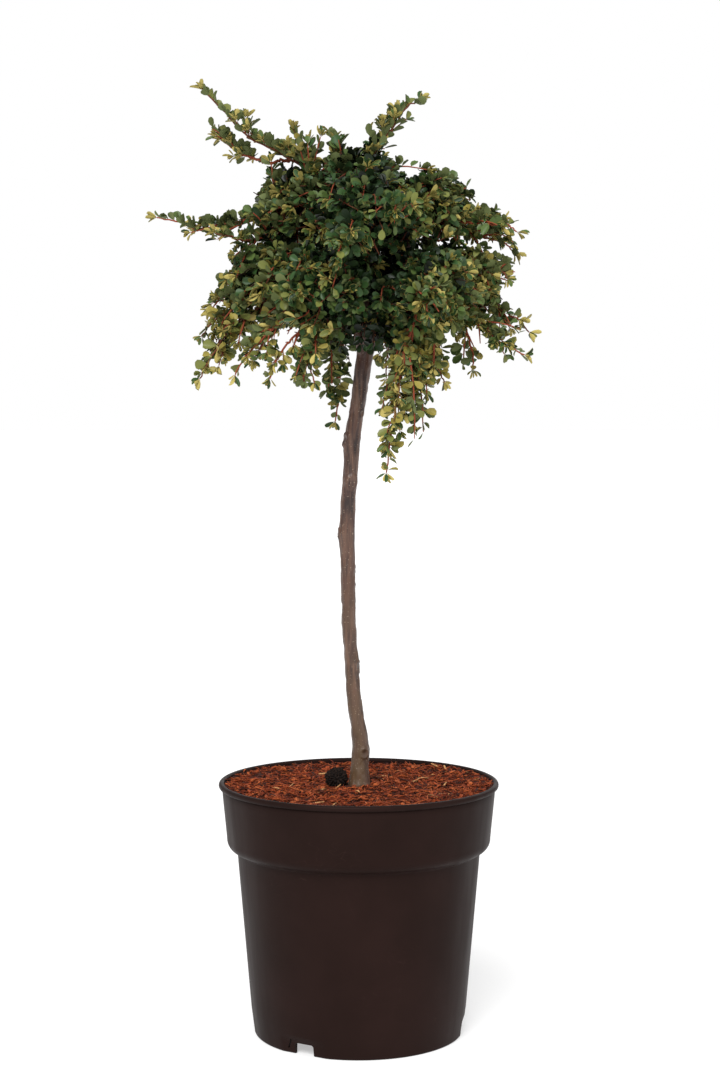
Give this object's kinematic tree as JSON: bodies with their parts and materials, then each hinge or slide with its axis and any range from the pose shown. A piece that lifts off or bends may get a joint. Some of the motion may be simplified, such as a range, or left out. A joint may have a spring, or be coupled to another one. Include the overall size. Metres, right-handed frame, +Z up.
{
  "type": "potted standard cotoneaster shrub",
  "caption": "Small-leaved weeping shrub grafted on a clear crooked stem, with a loose arching crown, in a round nursery pot topped with bark mulch",
  "frame": {"origin": "Centre of the flat foot under the pot, on the surface the pot stands on", "axes": "+Z up along the stem, +X to the right and -Y to the front, the side it is seen from"},
  "size_m": [0.3482, 0.2764, 0.8859],
  "materials": {
    "pot_plastic": "satin, dark brown-black recycled plastic",
    "bark_mulch": "matte, shredded reddish-brown bark",
    "feed_plug": "matte, rough clump",
    "stem_bark": "satin, grey-brown bark with pale pores",
    "twig_bark": "satin, thin reddish bark",
    "foliage": "glossy small evergreen leaves"
  },
  "bodies": {
    "root": {"bough_low_back_left": "twig_bark", "bough_low_back_right": "twig_bark", "bough_low_front_left": "twig_bark", "bough_low_front_right": "twig_bark", "bough_low_left": "twig_bark", "bough_low_right": "twig_bark", "bough_top": "twig_bark", "bough_upper_back": "twig_bark", "bough_upper_front": "twig_bark", "bough_upper_left": "twig_bark", "bough_upper_right": "twig_bark", "feed_plug": "feed_plug", "graft_union": "stem_bark", "mass_low_back_left": "foliage", "mass_low_back_right": "foliage", "mass_low_front_left": "foliage", "mass_low_front_right": "foliage", "mass_low_left": "foliage", "mass_low_right": "foliage", "mass_top": "foliage", "mass_upper_back": "foliage", "mass_upper_front": "foliage", "mass_upper_left": "foliage", "mass_upper_right": "foliage", "pot": "pot_plastic", "soil": "bark_mulch", "spray_back_high": "foliage", "spray_back_left_arm": "foliage", "spray_back_left_skirt": "foliage", "spray_back_right_arm": "foliage", "spray_back_right_skirt": "foliage", "spray_behind_stem": "foliage", "spray_far_left": "foliage", "spray_far_right": "foliage", "spray_front_low_right": "foliage", "spray_front_middle": "foliage", "spray_front_upper": "foliage", "spray_high_left": "foliage", "spray_high_left_fork": "foliage", "spray_high_right": "foliage", "spray_left_facing": "foliage", "spray_left_skirt_inner": "foliage", "spray_left_skirt_middle": "foliage", "spray_left_skirt_tip": "foliage", "spray_left_skirt_upper": "foliage", "spray_left_tuft": "foliage", "spray_low_right_inner": "foliage", "spray_low_right_outer": "foliage", "spray_right_arm": "foliage", "spray_right_middle": "foliage", "spray_right_shoulder": "foliage", "spray_right_skirt_tip": "foliage", "spray_right_upper": "foliage", "spray_tail": "foliage", "spray_tail_short": "foliage", "spray_top_left": "foliage", "spray_under_left": "foliage", "spray_under_left_short": "foliage", "stem": "stem_bark"}
  },
  "joints": []
}
